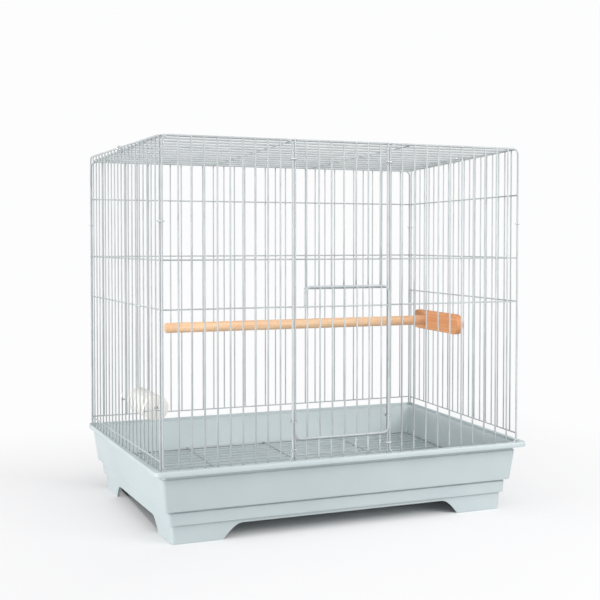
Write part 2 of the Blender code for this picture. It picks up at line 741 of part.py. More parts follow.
def block_hanger():
    """A wire through the bore, whose ends hook out between the bars on both sides of the block."""
    first, last = wall_ends(LEFT)
    bars = evenly(first, last, WALL_PITCH)
    slots = [(one + other) / 2 for one, other in zip([first] + bars, bars + [last])]
    low = max(slot for slot in slots if slot < BLOCK_ENDS[0] - HANGER_BEND)
    high = min(slot for slot in slots if slot > BLOCK_ENDS[1] + HANGER_BEND)
    outside = -THIN_RADIUS - HANGER_RADIUS - GAP
    path = [
        LEFT.at(low, BLOCK_HEIGHT + HANGER_HOOK, outside),
        LEFT.at(low, BLOCK_HEIGHT, outside),
        LEFT.at(low, BLOCK_HEIGHT, BLOCK_DEPTH),
        LEFT.at(high, BLOCK_HEIGHT, BLOCK_DEPTH),
        LEFT.at(high, BLOCK_HEIGHT, outside),
        LEFT.at(high, BLOCK_HEIGHT + HANGER_HOOK, outside),
    ]
    line = rounded(path, [0, HANGER_BEND, HANGER_BEND, HANGER_BEND, HANGER_BEND, 0], closed=False)
    return as_object("block_hanger", bent_wire(line, HANGER_RADIUS), STEEL)


def between_bars(wall, along):
    """The middle of the gap between bars that is nearest to along."""
    first, last = wall_ends(wall)
    bars = evenly(first, last, WALL_PITCH)
    gaps = [(one + other) / 2 for one, other in zip(bars, bars[1:])]
    return min(gaps, key=lambda middle: abs(middle - along))


def roof_clips():
    """Rings that tie the roof's frame to the top wires of the side walls."""
    along = ROOF_CLIP_FROM_FRONT / cos(FLARE_ANGLE)
    for name, wall, target in (("left", LEFT, LEFT.length - along), ("right", RIGHT, along)):
        place = between_bars(wall, target)
        drop = BOX_TOP - roof_height(wall.at(place, 0.0).y + HALF_DEPTH)
        centre = wall.at(place, BOX_TOP - drop / 2, CORNER_SET / 2)
        clip(f"clip_roof_{name}", centre, hypot(CORNER_SET, drop), wall.along)


def front_bays():
    edge = FRAME_RADIUS + GAP
    left_bars = stepped(LEFT_BAY_WIDTH, edge, LEFT_BAY_PITCH)[1:]
    right_bars = stepped(RIGHT_BAY_START, BOX_FRONT_WIDTH - edge, RIGHT_BAY_PITCH)[1:]
    closed_panel("front_left_panel", FRONT, edge, LEFT_BAY_WIDTH, left_bars)
    closed_panel("front_right_panel", FRONT, RIGHT_BAY_START, BOX_FRONT_WIDTH - edge, right_bars)


def slides_with(name, place, pieces):
    """An empty on a slide's axis, as the parent of the pieces that move along it."""
    slide = bpy.data.objects.new(name, None)
    slide.location = place
    CAGE.objects.link(slide)
    for piece in pieces:
        piece.parent = slide
        piece.matrix_parent_inverse = Matrix.Translation(-Vector(place))


tray = base_tray()
grate = floor_grate()
front_bays()
guide_rod("guide_left", GUIDE_LEFT)
guide_rod("guide_right", GUIDE_RIGHT)
gate_panels()
open_panel("left_panel", LEFT, BOX_TOP, (RAIL_MIDDLE, RAIL_LOWER))
open_panel("right_panel", RIGHT, BOX_TOP, (RAIL_UPPER, RAIL_MIDDLE, RAIL_LOWER))
open_panel("back_panel", BACK, BOX_TOP - ROOF_DROP, (RAIL_UPPER, RAIL_MIDDLE))
roof_panel()
corner_clips()
bay_clips()
roof_clips()
perch_plate()
perch_dowel()
perch_washer()
perch_screw()
mineral_block()
block_hanger()
door = sliding_door()
door_middle = FRONT.at((GUIDE_LEFT + GUIDE_RIGHT) / 2, DOOR_BOTTOM, -DOOR_SET)
slides_with("door_slide", door_middle, [door])
slides_with("grate_lift", (0.0, 0.0, LEDGE), [grate])
on_tray = [item for item in CAGE.objects if item is not tray and item.parent is None]
lifted = [item for item in on_tray if item.name != "grate_lift"]
slides_with("cage_lift", (0.0, 0.0, SHOULDER), lifted)
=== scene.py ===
# %% [markdown]
# # A breeding cage
# The real object is a box of coated steel wire that stands in a moulded plastic tray. The front
# has a door that slides up, a wooden perch is screwed to the right wall, and a mineral block
# hangs on the left one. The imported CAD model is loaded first. It fixes where every piece goes,
# and this lesson gives each piece its finer shape and its finish.

# %% Load the frame
from math import atan2, cos, pi, radians, tan

import bmesh
import bpy
from mathutils import Matrix, Vector


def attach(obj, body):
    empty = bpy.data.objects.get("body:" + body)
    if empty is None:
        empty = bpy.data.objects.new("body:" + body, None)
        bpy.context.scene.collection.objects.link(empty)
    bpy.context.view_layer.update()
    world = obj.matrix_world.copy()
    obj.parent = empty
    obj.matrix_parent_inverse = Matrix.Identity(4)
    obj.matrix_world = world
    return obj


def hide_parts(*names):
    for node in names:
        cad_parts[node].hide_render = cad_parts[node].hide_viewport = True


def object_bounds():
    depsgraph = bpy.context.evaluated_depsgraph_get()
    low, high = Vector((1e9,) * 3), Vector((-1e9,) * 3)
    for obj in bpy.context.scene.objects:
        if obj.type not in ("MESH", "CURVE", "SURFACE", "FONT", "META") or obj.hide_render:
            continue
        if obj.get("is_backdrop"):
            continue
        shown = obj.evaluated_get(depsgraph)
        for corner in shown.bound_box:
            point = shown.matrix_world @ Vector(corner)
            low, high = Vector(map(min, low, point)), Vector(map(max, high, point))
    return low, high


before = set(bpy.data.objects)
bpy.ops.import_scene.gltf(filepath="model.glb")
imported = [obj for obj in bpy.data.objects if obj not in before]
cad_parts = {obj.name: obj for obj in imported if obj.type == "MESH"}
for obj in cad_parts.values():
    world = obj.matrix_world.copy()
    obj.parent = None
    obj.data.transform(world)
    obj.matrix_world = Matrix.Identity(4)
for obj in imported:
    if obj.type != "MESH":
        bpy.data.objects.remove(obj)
CAD_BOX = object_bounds()

# %% [markdown]
# ## The camera
# A product picture is taken from the left and from about three quarters of the cage's height,
# with the camera almost level, so that upright wires stay upright in the picture. A small lens
# shift moves the cage up in the frame without tilting the camera, as an architect's lens does.


# %% Camera
scene = bpy.context.scene


def add_object(name, data):
    """An object in the scene that shows this data."""
    made = bpy.data.objects.new(name, data)
    scene.collection.objects.link(made)
    return made


view = bpy.data.cameras.new("camera")
view.sensor_width = 36.0
view.lens = 60.42
view.shift_x = 0.0078
view.shift_y = -0.045
view.clip_end = 30.0
camera = add_object("camera", view)
camera.location = (-0.3994, -0.9951, 0.2729)
camera.rotation_euler = (radians(88.28), 0.0, radians(-21.54))
scene.camera = camera
print("lens", view.lens, "mm, height above the floor", camera.location.z, "m")

# %% [markdown]
# ## Colours and nodes
# Colours are picked as sRGB hex values, the way a paint chart gives them, and Blender's shaders
# want linear values. One function turns the first into the second. A second function adds a
# shader node, sets its options and fills or links its sockets, so a material reads as a list.


# %% Colour and node helpers
def colour(code):
    """The linear colour of an sRGB hex value."""
    parts = [int(code[place : place + 2], 16) / 255 for place in (1, 3, 5)]
    linear = [
        part / 12.92 if part <= 0.04045 else ((part + 0.055) / 1.055) ** 2.4 for part in parts
    ]
    return (*linear, 1.0)


def add_node(tree, kind, sockets=None, **options):
    """A node of this kind with its options set and its sockets given a value or a link."""
    node = tree.nodes.new(kind)
    for name, value in options.items():
        setattr(node, name, value)
    for name, value in (sockets or {}).items():
        if isinstance(value, bpy.types.NodeSocket):
            tree.links.new(value, node.inputs[name])
        else:
            node.inputs[name].default_value = value
    return node


MM = 0.001
print("pale blue-grey, linear:", [round(part, 3) for part in colour("#C3D0D4")])

# %% [markdown]
# ## Floor, world and lamps
# The cage stands on a white sweep in even light. A real studio does this with a paper roll and
# large soft boxes. Here the floor is a large plane of plain white paper, which keeps the soft
# shadow under the tray. To the camera the paper fades into a painted white glow, the white of
# the background, over the first 0.4 m from the tray's footprint, so there is no horizon. The
# glow is already strong right beside the footprint, so it also paints the tray's shadow on the
# paper lighter. The world is white to the camera and in reflections, and dimmer as a lamp.


# %% Helpers for the studio
def new_material(name):
    """An empty node material and its node tree."""
    made = bpy.data.materials.new(name)
    made.use_nodes = True
    made.node_tree.nodes.clear()
    return made, made.node_tree


def seen_directly(tree):
    """1 for rays from the camera, and for those that a mirror or glass sends on."""
    path = add_node(tree, "ShaderNodeLightPath")
    shiny = add_node(
        tree,
        "ShaderNodeMath",
        {0: path.outputs["Is Glossy Ray"], 1: path.outputs["Is Transmission Ray"]},
        operation="MAXIMUM",
    )
    return add_node(
        tree,
        "ShaderNodeMath",
        {0: path.outputs["Is Camera Ray"], 1: shiny.outputs[0]},
        operation="MAXIMUM",
    ).outputs[0]


def mesh_of(name, shape):
    """The bmesh as a mesh. The bmesh is freed."""
    mesh = bpy.data.meshes.new(name)
    shape.to_mesh(mesh)
    shape.free()
    return mesh


# %% Floor
FLOOR_SIZE = 14.0
PAPER = "#F6F6F7"
PAPER_AS_MIRROR = "#CBCBCC"
BACKGROUND = "#FDFDFE"
FOOTPRINT = (0.172, 0.117)
FADE_OVER = 0.38
# The low power makes the painted white glow strong right beside the footprint, which paints the
# tray's shadow on the paper lighter
FADE_POWER = 0.26
paper, tree = new_material("studio_paper")
seen = seen_directly(tree)
tint = add_node(
    tree,
    "ShaderNodeMix",
    {0: seen, 6: colour(PAPER_AS_MIRROR), 7: colour(PAPER)},
    data_type="RGBA",
)
diffuse = add_node(tree, "ShaderNodeBsdfDiffuse", {"Color": tint.outputs[2]})
shine = add_node(tree, "ShaderNodeEmission", {"Color": colour(BACKGROUND)})
place = add_node(tree, "ShaderNodeTexCoord").outputs["Object"]
spot = add_node(tree, "ShaderNodeVectorMath", {0: place}, operation="ABSOLUTE")
past = add_node(
    tree,
    "ShaderNodeVectorMath",
    {0: spot.outputs[0], 1: (*FOOTPRINT, 0.0)},
    operation="SUBTRACT",
)
sides = add_node(tree, "ShaderNodeSeparateXYZ", {0: past.outputs[0]})
far = add_node(
    tree,
    "ShaderNodeMath",
    {0: sides.outputs["X"], 1: sides.outputs["Y"]},
    operation="MAXIMUM",
)
fade = add_node(tree, "ShaderNodeMapRange", {"Value": far.outputs[0], "From Max": FADE_OVER})
eased = add_node(
    tree, "ShaderNodeMath", {0: fade.outputs[0], 1: FADE_POWER}, operation="POWER"
)
share = add_node(
    tree, "ShaderNodeMath", {0: seen, 1: eased.outputs[0]}, operation="MULTIPLY"
)
both = add_node(
    tree,
    "ShaderNodeMixShader",
    {0: share.outputs[0], 1: diffuse.outputs[0], 2: shine.outputs[0]},
)
add_node(tree, "ShaderNodeOutputMaterial", {"Surface": both.outputs[0]})

shape = bmesh.new()
bmesh.ops.create_grid(shape, x_segments=1, y_segments=1, size=FLOOR_SIZE / 2)
mesh = mesh_of("floor", shape)
mesh.materials.append(paper)
floor = add_object("floor", mesh)
floor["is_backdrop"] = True
print("floor", FLOOR_SIZE, "m wide")

# %% World
WORLD_AS_LAMP = 0.42
world = bpy.data.worlds.new("studio")
world.use_nodes = True
world.node_tree.nodes.clear()
tree = world.node_tree
strength = add_node(
    tree,
    "ShaderNodeMapRange",
    {"Value": seen_directly(tree), "To Min": WORLD_AS_LAMP, "To Max": 1.0},
)
sky = add_node(
    tree,
    "ShaderNodeBackground",
    {"Color": colour(BACKGROUND), "Strength": strength.outputs[0]},
)
add_node(tree, "ShaderNodeOutputWorld", {"Surface": sky.outputs[0]})
scene.world = world
scene.view_settings.view_transform = "Standard"
print("world", WORLD_AS_LAMP, "as a lamp")


# %% Lamps
def soft_box(name, place, aim, size, power):
    """A square area lamp at place, turned towards aim."""
    lamp = bpy.data.lights.new(name, "AREA")
    lamp.size = size
    lamp.energy = power
    box = add_object(name, lamp)
    box.location = place
    box.rotation_euler = (Vector(aim) - Vector(place)).to_track_quat("-Z", "Y").to_euler()
    box.visible_camera = False


middle = (0.0, 0.0, 0.15)
soft_box("key_box", (-1.8, -0.5, 1.5), middle, 1.4, 9.0)
soft_box("top_box", (0.2, -1.5, 1.7), middle, 1.6, 19.0)
soft_box("side_box", (0.55, -0.8, 0.4), (0.2, -0.13, 0.05), 0.4, 3.2)
soft_box("low_box", (-1.6, -0.25, 0.06), (0.0, 0.0, 0.05), 0.11, 12.0)

# %% [markdown]
# ## Coated wire
# Cage wire is drawn mild steel, spot-welded and then dipped or sprayed with a polyester powder
# that melts to a skin about 0.1 mm thick. The skin is smooth but slightly rippled, like orange
# peel, so its highlight is soft and broken. The ripple is about 1.2 mm across, and a slow
# change of tone over some centimetres stands for uneven thickness.


# %% Powder coat
def principled(name, sockets):
    """A material with one Principled shader, and that shader and its tree for linking."""
    made, tree = new_material(name)
    shader = add_node(tree, "ShaderNodeBsdfPrincipled", sockets)
    add_node(tree, "ShaderNodeOutputMaterial", {"Surface": shader.outputs[0]})
    place = add_node(tree, "ShaderNodeTexCoord").outputs["Object"]
    return made, tree, shader, place


def noise(tree, place, size, detail=3.0):
    """Noise whose lumps are about size metres across."""
    return add_node(
        tree, "ShaderNodeTexNoise", {"Vector": place, "Scale": 1.0 / size, "Detail": detail}
    ).outputs["Fac"]


def two_tones(tree, factor, low, high):
    """A colour between two hex values, by a factor from 0 to 1."""
    mix = add_node(
        tree,
        "ShaderNodeMix",
        {0: factor, 6: colour(low), 7: colour(high)},
        data_type="RGBA",
    )
    return mix.outputs[2]


def spread(tree, value, low, high, least=0.35, most=0.65):
    """A noise value stretched to run from low to high."""
    ends = {"From Min": least, "From Max": most, "To Min": low, "To Max": high}
    return add_node(tree, "ShaderNodeMapRange", {"Value": value, **ends}).outputs[0]


def bump(tree, height, depth, strength=1.0):
    """A normal from a height between 0 and 1 that stands for depth metres."""
    sockets = {"Height": height, "Distance": depth, "Strength": strength}
    return add_node(tree, "ShaderNodeBump", sockets).outputs[0]


coat, tree, shader, place = principled("powder_coat", {"IOR": 1.5})
tone = spread(tree, noise(tree, place, 25 * MM), 0.0, 1.0)
peel = noise(tree, place, 1.2 * MM)
tree.links.new(two_tones(tree, tone, "#B9BFC1", "#C6CCCD"), shader.inputs["Base Color"])
tree.links.new(spread(tree, peel, 0.26, 0.40), shader.inputs["Roughness"])
tree.links.new(bump(tree, peel, 0.03 * MM), shader.inputs["Normal"])
print("material:", coat.name)

# %% [markdown]
# ## Moulded plastic
# The tray is injection-moulded polypropylene. Its outside has the fine, even texture of a spark
# eroded mould, which spreads the highlight, and the plastic's colour drifts a little where it
# flowed. The texture's grain is 0.5 mm, coarser than the real 0.1 mm so that it can show.

# %% Tray plastic
plastic, tree, shader, place = principled("moulded_polypropylene", {"IOR": 1.49})
flow = spread(tree, noise(tree, place, 60 * MM, 2.0), 0.0, 1.0)
grain = noise(tree, place, 0.5 * MM, 2.0)
tree.links.new(two_tones(tree, flow, "#C6D2D4", "#CCD7D9"), shader.inputs["Base Color"])
tree.links.new(spread(tree, grain, 0.36, 0.48), shader.inputs["Roughness"])
tree.links.new(bump(tree, grain, 0.02 * MM), shader.inputs["Normal"])
print("material:", plastic.name)

# %% [markdown]
# ## Wood
# The perch and its plate are pale hardwood, sanded and left bare. Its grain is fine stripes
# along the length with short darker flecks. Noise that is stretched along the grain gives
# both: stripes 1.5 mm wide and 60 mm long, and flecks 0.4 mm wide and 4 mm long.


# %% Wood
STRIPE = (1.5 * MM, 60 * MM)
FLECK = (0.4 * MM, 4 * MM)
FLECK_TONE = "#B5784A"


def wood(name, heading, dark, light):
    """Bare wood whose grain runs along heading, an angle about Z from the X axis."""
    made, tree, shader, place = principled(name, {"IOR": 1.5})
    turned = add_node(
        tree, "ShaderNodeMapping", {"Vector": place, "Rotation": (0.0, 0.0, -heading)}
    )

    def stretched(width, length, detail):
        """Noise drawn out along the grain, its spots this wide and this long."""
        ratio = (width / length, 1.0, 1.0)
        drawn = add_node(
            tree, "ShaderNodeMapping", {"Vector": turned.outputs[0], "Scale": ratio}
        )
        return noise(tree, drawn.outputs[0], width, detail)

    stripe = spread(tree, stretched(*STRIPE, 3.0), 0.0, 1.0)
    fleck = spread(tree, stretched(*FLECK, 1.0), 1.0, 0.0, 0.25, 0.40)
    base = two_tones(tree, stripe, dark, light)
    flecked = add_node(
        tree,
        "ShaderNodeMix",
        {0: spread(tree, fleck, 0.0, 0.55, 0.0, 1.0), 6: base, 7: colour(FLECK_TONE)},
        data_type="RGBA",
    )
    tree.links.new(flecked.outputs[2], shader.inputs["Base Color"])
    tree.links.new(spread(tree, stripe, 0.62, 0.5, 0.0, 1.0), shader.inputs["Roughness"])
    tree.links.new(bump(tree, stripe, 0.06 * MM, 0.6), shader.inputs["Normal"])
    return made


# %% [markdown]
# ## Mineral and zinc
# The block is pressed mineral powder, chalky and full of small pits. The clips, the hanger,
# the washer and the screw are zinc-plated steel, bright with faint draw marks.

# %% Mineral
mineral, tree, shader, place = principled("pressed_mineral", {"IOR": 1.5, "Roughness": 0.9})
cloud = spread(tree, noise(tree, place, 9 * MM), 0.0, 1.0)
grit = noise(tree, place, 0.9 * MM, 4.0)
tree.links.new(two_tones(tree, cloud, "#F6F2EB", "#FCFAF6"), shader.inputs["Base Color"])
tree.links.new(bump(tree, grit, 0.12 * MM), shader.inputs["Normal"])
print("material:", mineral.name)

# %% Zinc
zinc, tree, shader, place = principled("zinc_plate", {"Metallic": 1.0})
drawn = noise(tree, place, 0.6 * MM)
tree.links.new(two_tones(tree, drawn, "#B9BCBE", "#D3D6D7"), shader.inputs["Base Color"])
tree.links.new(spread(tree, drawn, 0.22, 0.36), shader.inputs["Roughness"])
tree.links.new(bump(tree, drawn, 0.01 * MM), shader.inputs["Normal"])
print("material:", zinc.name)

# %% [markdown]
# ## The plan and its walls
# The cage is a little wider at the back than at the front, so its side walls lean out in plan.
# Every wire belongs to one flat wall. A small class holds a wall's direction and its inward
# side, and turns a distance along the wall and a height into a point.

# %% Sizes and walls
FRONT_WIDTH = 0.370
BACK_WIDTH = 0.400
DEPTH = 0.260
TOP = 0.3675
ROOF_DROP = 0.005
RAILS = {"upper": 0.3208, "middle": 0.2576, "lower": 0.2136, "ring": 0.0791}
RIM = 0.0713
SHOULDER = RIM - 2.8 * MM
# The CAD model's wires, which set where everything goes
FRAME_RADIUS = 1.1 * MM
BAR_RADIUS = 0.9 * MM
THIN_RADIUS = 0.7 * MM
WELD_DEPTH = 0.4 * MM
GAP = 0.3 * MM
SLACK = 0.1 * MM
BEND = 6 * MM
# The frames and the front's bars as they are drawn, a little thinner
FRAME_WIRE = 0.9 * MM
BAR_WIRE = 0.8 * MM
FOOT_OF_WIRES = SHOULDER + GAP + FRAME_RADIUS
FRONT_RAIL_SET = BAR_RADIUS + THIN_RADIUS - WELD_DEPTH
WALL_RAIL_SET = 2 * THIN_RADIUS - WELD_DEPTH
CORNER_SET = 2 * FRAME_RADIUS + GAP + SLACK
LEAN = atan2((BACK_WIDTH - FRONT_WIDTH) / 2, DEPTH)


class Wall:
    """A wall's plane: along runs from its left end seen from outside, inward into the cage."""

    def __init__(self, start, end):
        self.start = Vector((*start, 0.0))
        span = Vector((*end, 0.0)) - self.start
        self.length = span.length
        self.along = span.normalized()
        self.inward = Vector((-self.along.y, self.along.x, 0.0))

    def at(self, along, height, inward=0.0):
        """The point at this distance along the wall and this height."""
        place = self.start + self.along * along + self.inward * inward
        return place + Vector((0.0, 0.0, height))


corners = [
    (-FRONT_WIDTH / 2, -DEPTH / 2),
    (FRONT_WIDTH / 2, -DEPTH / 2),
    (BACK_WIDTH / 2, DEPTH / 2),
    (-BACK_WIDTH / 2, DEPTH / 2),
]
FRONT, RIGHT, BACK, LEFT = (
    Wall(corners[index], corners[(index + 1) % 4]) for index in range(4)
)
print("walls, mm:", [round(wall.length * 1000, 1) for wall in (FRONT, RIGHT, BACK, LEFT)])

# %% [markdown]
# ## Bending wire
# A wire bender works in two moves: feed straight, then turn about a die. The same two moves
# make the mesh. A circle is extruded along the wire for a feed and spun about the die's
# centre for a turn. A curve with a round section would also do, but its bends would only come
# near to the die's true arc.


# %% Helpers for bmesh
def pointing(place, heading):
    """The matrix that puts a shape drawn about Z at place, with its Z along heading."""
    return Matrix.Translation(place) @ heading.to_track_quat("Z", "Y").to_matrix().to_4x4()


def verts_in(items):
    """The corners among these parts of a bmesh."""
    return [item for item in items if isinstance(item, bmesh.types.BMVert)]


def edges_in(items):
    """The edges among these parts of a bmesh."""
    return [item for item in items if isinstance(item, bmesh.types.BMEdge)]


def edges_of(verts):
    """The edges at these corners, each once."""
    return list(dict.fromkeys(edge for vert in verts for edge in vert.link_edges))


def ring_edges(shape, radius, sides, matrix):
    """The edges of a new circle."""
    ring = bmesh.ops.create_circle(shape, segments=sides, radius=radius, matrix=matrix)
    return edges_of(ring["verts"])


def ease(shape, geom, offset, segments=1, affect="EDGES"):
    """Rounds edges or corners by this much."""
    bmesh.ops.bevel(
        shape,
        geom=geom,
        offset=offset,
        segments=segments,
        profile=0.5,
        affect=affect,
        material=-1,
    )


# %% Bent wire
def bend_wire(shape, start, feeds, normal, radius, turns, bend, sides, steps):
    """Feed and turn one wire: feeds are its straight runs, turns the angles between them."""
    first = edges = ring_edges(shape, radius, sides, pointing(start, feeds[0].normalized()))
    here = Vector(start)
    for index, feed in enumerate(feeds):
        moved = bmesh.ops.extrude_edge_only(shape, edges=edges)["geom"]
        verts = verts_in(moved)
        bmesh.ops.translate(shape, verts=verts, vec=feed)
        here += feed
        edges = [edge for edge in edges_in(moved) if all(vert in verts for vert in edge.verts)]
        if index < len(turns):
            angle = turns[index]
            side = normal.cross(feed.normalized()) * (1 if angle > 0 else -1)
            spun = bmesh.ops.spin(
                shape,
                geom=edges,
                cent=here + side * bend,
                axis=normal,
                angle=angle,
                steps=steps,
            )["geom_last"]
            edges = edges_in(spun)
            turn = Matrix.Rotation(angle, 3, normal)
            here = here + side * bend + turn @ (-side * bend)
    return first, edges


def wire_path(shape, points, radius, closed=False, bend=BEND, sides=12, steps=6):
    """One bent wire through these corner points, all in one plane."""
    points = [Vector(point) for point in points]
    normal = (points[1] - points[0]).cross(points[2] - points[1]).normalized()
    count = len(points)
    if closed:
        start = (points[0] + points[-1]) / 2
        points = [start, *points, start]
        count += 2
    runs = [points[index + 1] - points[index] for index in range(count - 1)]
    turns = []
    for one, two in zip(runs, runs[1:]):
        sign = 1 if one.cross(two).dot(normal) > 0 else -1
        turns.append(one.angle(two) * sign)
    trims = [0.0, *(bend * tan(abs(angle) / 2) for angle in turns), 0.0]
    feeds = [
        run.normalized() * (run.length - trims[index] - trims[index + 1])
        for index, run in enumerate(runs)
    ]
    first, last = bend_wire(shape, points[0], feeds, normal, radius, turns, bend, sides, steps)
    if not closed:
        for rim in (first, last):
            bmesh.ops.contextual_create(shape, geom=rim)


# %% [markdown]
# ## Straight bars and welds
# The bars are cut from straightened wire. A machine lays them across the frame and welds every
# crossing, where the two wires sink a little into each other. A bar is a cone with equal ends
# whose rims are bevelled, because a cut and coated wire end is never sharp. Coating gathers at
# a weld, so each one gets a small ball, with few faces, as there are hundreds of them.


# %% Bars and welds
def bar(shape, start, end, radius=BAR_WIRE, sides=10, rim=0.3):
    """A straight wire whose ends are rounded by a share of its radius."""
    start, end = Vector(start), Vector(end)
    run = end - start
    made = bmesh.ops.create_cone(
        shape,
        cap_ends=True,
        segments=sides,
        radius1=radius,
        radius2=radius,
        depth=run.length,
        matrix=pointing((start + end) / 2, run),
    )["verts"]
    rims = [
        edge
        for edge in edges_of(made)
        if any(len(face.verts) == sides for face in edge.link_faces)
    ]
    ease(shape, rims, radius * rim)


WELD = 1.05 * MM
THIN_WELD = 0.85 * MM


def weld(shape, place, size=WELD):
    """The small lump of coating where two wires are spot-welded across each other."""
    bmesh.ops.create_icosphere(
        shape, subdivisions=1, radius=size, matrix=Matrix.Translation(place)
    )


# %% [markdown]
# ## From shape to piece
# A finished shape loses its doubled corners, has its faces turned outwards and is shaded
# smooth, with its sharp edges kept. It then rides on its body of the CAD model in place of the
# plain solid, so it moves with the joints.


# %% Finishing a piece
def finish_piece(name, shape, material, body, nodes, smooth_below=50):
    """Turns the bmesh into a piece that rides on its body in place of its CAD nodes."""
    bmesh.ops.remove_doubles(shape, verts=shape.verts, dist=0.005 * MM)
    bmesh.ops.recalc_face_normals(shape, faces=shape.faces)
    if shape.calc_volume(signed=True) < 0:
        # Recalculating goes by the outermost corner, which misleads it on a thin-walled tray.
        # Many-sided faces are split first, so that turning them round keeps their shading.
        many_sided = [face for face in shape.faces if len(face.verts) > 4]
        bmesh.ops.triangulate(shape, faces=many_sided, ngon_method="EAR_CLIP")
        bmesh.ops.reverse_faces(shape, faces=shape.faces)
    mesh = mesh_of(name, shape)
    mesh.shade_smooth()
    mesh.set_sharp_from_angle(angle=radians(smooth_below))
    mesh.materials.append(material)
    made = add_object(name, mesh)
    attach(made, body)
    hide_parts(*nodes)
    print(f"{name}: {len(mesh.polygons)} faces, in place of {', '.join(nodes)}")


# %% [markdown]
# ## Side and back walls
# Each of these walls is one arched frame on two legs. Its bars are let into the frame's top
# wire and end on a ring wire just above the tray's rim. Those of the left wall cross the ring
# wire and run down to the rim. Two or three rails cross the bars on the inside, and every
# crossing is welded.


# %% Side and back walls
BAR_PITCH = 12.7 * MM


def evenly(first, last, pitch=BAR_PITCH):
    """Places of bars with equal gaps between first and last, about pitch apart."""
    gaps = round((last - first) / pitch)
    return [first + (last - first) / gaps * index for index in range(1, gaps)]


def wall_ends(wall):
    """Where a wall's legs stand: the back wall's are outside those of the side walls."""
    first = FRAME_RADIUS + GAP if wall is BACK else CORNER_SET
    return first, wall.length - first


def arched_wall(name, node, wall, top, rails, bars_from=RAILS["ring"]):
    """A wall with an arched frame, a ring wire across its foot, bars, and rails inside."""
    first, last = wall_ends(wall)
    foot = FOOT_OF_WIRES - FRAME_RADIUS
    shape = bmesh.new()
    posts = [(first, foot), (first, top), (last, top), (last, foot)]
    wire_path(shape, [wall.at(*post) for post in posts], FRAME_WIRE)
    ring = RAILS["ring"]
    bar(shape, wall.at(first, ring), wall.at(last, ring), THIN_RADIUS)
    for rail in rails:
        ends = (wall.at(along, RAILS[rail], WALL_RAIL_SET) for along in (first, last))
        bar(shape, *ends, THIN_RADIUS)
    for place in evenly(first, last):
        bar(shape, wall.at(place, bars_from), wall.at(place, top), THIN_RADIUS)
        weld(shape, wall.at(place, ring), THIN_WELD)
        for rail in rails:
            weld(shape, wall.at(place, RAILS[rail], WALL_RAIL_SET / 2), THIN_WELD)
    finish_piece(name, shape, coat, "cage", [node])


arched_wall("left_wall", "left_panel", LEFT, TOP, ["middle", "lower"], SHOULDER + GAP)
arched_wall("right_wall", "right_panel", RIGHT, TOP, ["upper", "middle", "lower"])
arched_wall("back_wall", "back_panel", BACK, TOP - ROOF_DROP, ["upper", "middle"])

# %% [markdown]
# ## The front
# The front is two bays with the gate between them. Each bay has a frame all the way round, and
# its foot hides behind the rim. The gate's fixed wires fill the space above and below the
# door, and two upright guides stand beside the bays' frames.

# %% Front bays
LEFT_BAY = 0.1245
LEFT_PITCH = 12.05 * MM
RIGHT_BAY = 0.1453
RIGHT_PITCH = 13.2 * MM
RIGHT_BAY_START = FRONT_WIDTH - RIGHT_BAY
GATE_LEFT = LEFT_BAY + 2 * FRAME_RADIUS + GAP
GATE_RIGHT = RIGHT_BAY_START - 2 * FRAME_RADIUS - GAP


def framed_bay(name, node, first, last, places):
    """A front bay: a frame bent round it, its bars, and two rails inside."""
    shape = bmesh.new()
    loop = [(first, FOOT_OF_WIRES), (last, FOOT_OF_WIRES), (last, TOP), (first, TOP)]
    wire_path(shape, [FRONT.at(*corner) for corner in loop], FRAME_WIRE, closed=True)
    for rail in ("middle", "lower"):
        ends = (FRONT.at(along, RAILS[rail], FRONT_RAIL_SET) for along in (first, last))
        bar(shape, *ends, THIN_RADIUS)
        for place in places:
            weld(shape, FRONT.at(place, RAILS[rail], FRONT_RAIL_SET / 2))
    for place in places:
        bar(shape, FRONT.at(place, FOOT_OF_WIRES), FRONT.at(place, TOP))
    finish_piece(name, shape, coat, "cage", [node])


edge = FRAME_RADIUS + GAP
far_edge = FRONT_WIDTH - edge
left_places = [LEFT_BAY - LEFT_PITCH * step for step in range(1, 10)]
right_places = [RIGHT_BAY_START + RIGHT_PITCH * step for step in range(1, 11)]
framed_bay("front_left_bay", "front_left_panel", edge, LEFT_BAY, left_places)
framed_bay("front_right_bay", "front_right_panel", RIGHT_BAY_START, far_edge, right_places)

# %% Gate: fixed wires and guides
DOOR_ABOVE_RAIL = 18.4 * MM
DOOR_TOP = RAILS["lower"] + DOOR_ABOVE_RAIL
DOOR_FOOT = 0.091
DOOR_EYE = 0.107
# The wire over the sill hides behind the door's foot
SILL = DOOR_FOOT - 0.7 * MM
GATE_FIRST_GAP = 11.2 * MM
LEG_TO_BAR = 2.5 * MM
UNDER_DOOR_TOP = 1.5 * MM
gate_first = GATE_LEFT + FRAME_RADIUS + GAP
gate_last = GATE_RIGHT - FRAME_RADIUS - GAP
gate_places = [GATE_LEFT + GATE_FIRST_GAP + BAR_PITCH * step for step in range(7)]
door_leg = gate_places[0] - LEG_TO_BAR


def gate_wires(name, node, low, low_start, high, rails):
    """Fixed wires between the guides, closed above and below by a wire across."""
    shape = bmesh.new()
    bar(shape, FRONT.at(gate_first, high), FRONT.at(gate_last, high), FRAME_WIRE, 12)
    bar(shape, FRONT.at(low_start, low), FRONT.at(gate_last, low), FRAME_WIRE, 12)
    for place in gate_places:
        bar(shape, FRONT.at(place, low), FRONT.at(place, high))
    for height in rails:
        ends = (FRONT.at(along, height, FRONT_RAIL_SET) for along in (gate_first, gate_last))
        bar(shape, *ends, THIN_RADIUS)
        for place in gate_places:
            weld(shape, FRONT.at(place, height, FRONT_RAIL_SET / 2))
    finish_piece(name, shape, coat, "cage", [node])


